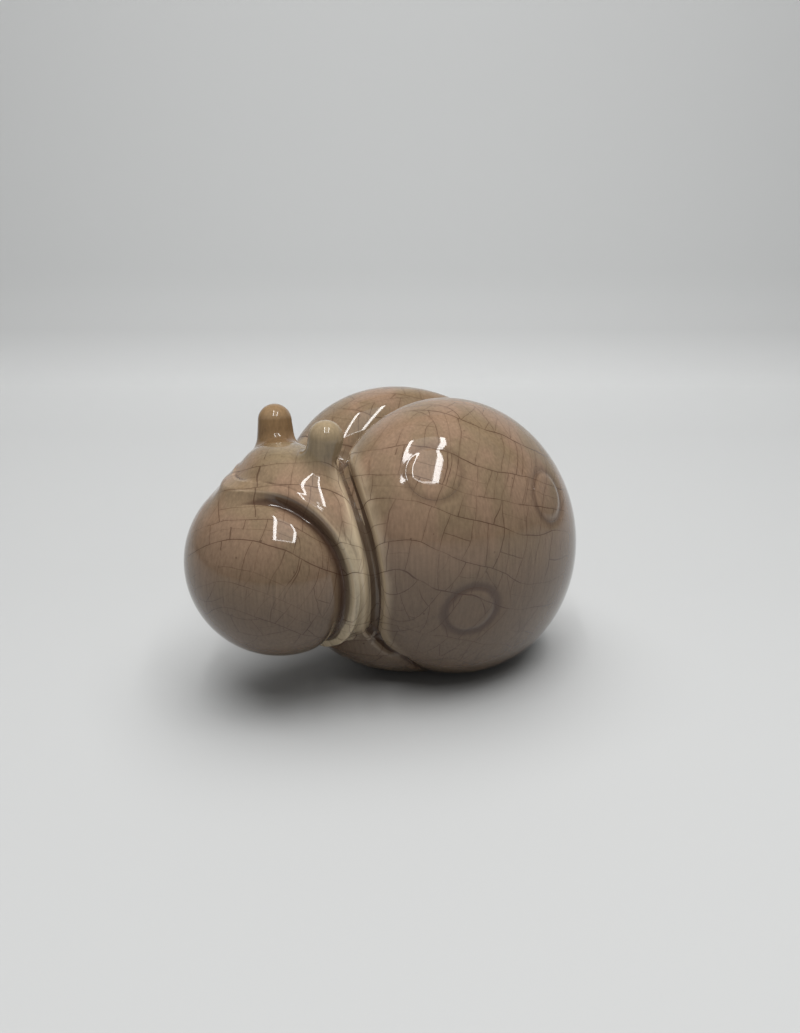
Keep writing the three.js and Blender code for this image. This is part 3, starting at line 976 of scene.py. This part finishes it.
for antenna, form in (("left_antenna", LEFT_STUB), ("right_antenna", RIGHT_STUB)):
    place, _ = on_egg(collar_egg, form["side"], form["bearing"], form["elevation"])
    splay, back = np.tan(np.radians((ANTENNA_SPLAY, form["back"])))
    lift = np.array((form["side"] * splay, back, 1))
    lift = lift / np.linalg.norm(lift)
    root = place - ANTENNA_ROOT * lift

    def stub(p):
        """Height over a round-ended rod along the antenna's axis, whose radius changes evenly to its top."""
        out = p - root
        along = np.clip(out @ lift, 0, ANTENNA_ROOT + ANTENNA_HEIGHT - form["top"])
        share = np.clip((along - ANTENNA_ROOT) / (ANTENNA_HEIGHT - form["top"]), 0, 1)
        radius = form["neck"] + (form["top"] - form["neck"]) * share
        return np.linalg.norm(out - along[..., None] * lift, axis=-1) - radius

    def stub_skin(p):
        """Height over the skin with the rod luted on, a thin lap above the pieces around it."""
        front, wings, depth = halves(p, True)
        return luted(merged(front, stub(p), form["fillet"]), wings, p) + depth - ANTENNA_LAP

    def on_stub(p):
        """Where the rod and its fillet make the skin."""
        front, wings, _ = halves(p, True)
        return (stub(p) - front < form["fillet"]) & (merged(front, stub(p), form["fillet"]) < wings)

    # The rows lie equally far apart along the stub: a fine fan of rays gives the run along it
    foot = seam(root, lift, FORWARD, ANTENNA_COLUMNS, on_stub, *ANTENNA_SCAN, stub_skin)
    fan = np.linspace(0, foot.max(), FAN_STEPS)[:, None] + np.zeros(FAN_COLUMNS)
    fine = meet(stub_skin, root, aim(lift, FORWARD, fan, turns(FAN_COLUMNS)), ROOT_NEAR, ANTENNA_MARCHES)
    run = np.append(0, np.linalg.norm(np.diff(fine, axis=0), axis=-1).mean(axis=1).cumsum())
    rows = np.linspace(0, 1, ANTENNA_ROWS + 1)
    share = np.interp(rows, run / run[-1], np.linspace(0, 1, FAN_STEPS))
    polar = np.concatenate((share[:, None] * foot, foot[None] + 2 * TUCK_ANGLE))
    ray = aim(lift, FORWARD, polar, turns(ANTENNA_COLUMNS))
    grid = meet(stub_skin, root, ray, ROOT_NEAR, ANTENNA_MARCHES)
    grid[-1] -= TUCK_DEPTH * ray[-1]
    coarse = ray[::COARSE_ROWS, ::COARSE_COLUMNS]
    under = meet(skin, root, coarse, ROOT_NEAR) - 2 * TUCK_DEPTH * coarse
    piece = shell(f"{antenna}_skin", grid, under, True, stub_skin)
    dress(piece, antenna, khaki_glaze)

# Light
# Even daylight white from a light tent and a large soft sheet overhead. An oblong frame of lamps hangs to
# the left front, and its two long tubes show as bright strips in the glaze.
FRAME_PLACE = Vector((0.27, -0.09, 0.64))
FRAME_AWAY = Vector((0.38, -0.12, 0.9)).normalized()
FRAME_ACROSS = Vector((0.516, 0.855, 0))
FRAME_WIDTH = 0.26
FRAME_LENGTH = 0.42
TUBE_WIDTH = 0.04
END_WIDTH = TUBE_WIDTH / 3
SHEET_PLACE = Vector((0.06, 0, 1.6))
SHEET_SIZE = 1.8
TENT_COLOR = (0.8, 0.81, 0.82, 1)
TENT_STRENGTH = 0.2
SHEET_WATTS = 34
TUBE_WATTS = 0.9
END_WATTS = 0.1
PANEL_WATTS = 0.4

bpy.context.scene.view_settings.view_transform = "Standard"
world = bpy.data.worlds.new("tent")
world.use_nodes = True
world.node_tree.nodes["Background"].inputs["Color"].default_value = TENT_COLOR
world.node_tree.nodes["Background"].inputs["Strength"].default_value = TENT_STRENGTH
bpy.context.scene.world = world


def lamp(name, place, axes, width, length, watts):
    """A flat rectangular lamp that shines against the last of its three axes."""
    light = bpy.data.lights.new(name, "AREA")
    light.shape = "RECTANGLE"
    light.size = width
    light.size_y = length
    light.energy = watts
    holder = put(name, light)
    holder.location = place
    holder.rotation_euler = Matrix(axes).transposed().to_euler()
    return holder


sheet = lamp("sheet", SHEET_PLACE, Matrix.Identity(3), SHEET_SIZE, SHEET_SIZE, SHEET_WATTS)
sheet.visible_glossy = False
beside = (FRAME_ACROSS - FRAME_AWAY * FRAME_ACROSS.dot(FRAME_AWAY)).normalized()
along = FRAME_AWAY.cross(beside)
axes = (beside, along, FRAME_AWAY)
lamp("near_tube", FRAME_PLACE - beside * FRAME_WIDTH / 2, axes, TUBE_WIDTH, FRAME_LENGTH, TUBE_WATTS)
lamp("far_tube", FRAME_PLACE + beside * FRAME_WIDTH / 2, axes, TUBE_WIDTH, FRAME_LENGTH, TUBE_WATTS)
lamp("end_tube", FRAME_PLACE - along * FRAME_LENGTH / 2, axes, FRAME_WIDTH, END_WIDTH, END_WATTS)
lamp("panel", FRAME_PLACE + FRAME_AWAY * TUBE_WIDTH, axes, FRAME_WIDTH, FRAME_LENGTH, PANEL_WATTS)
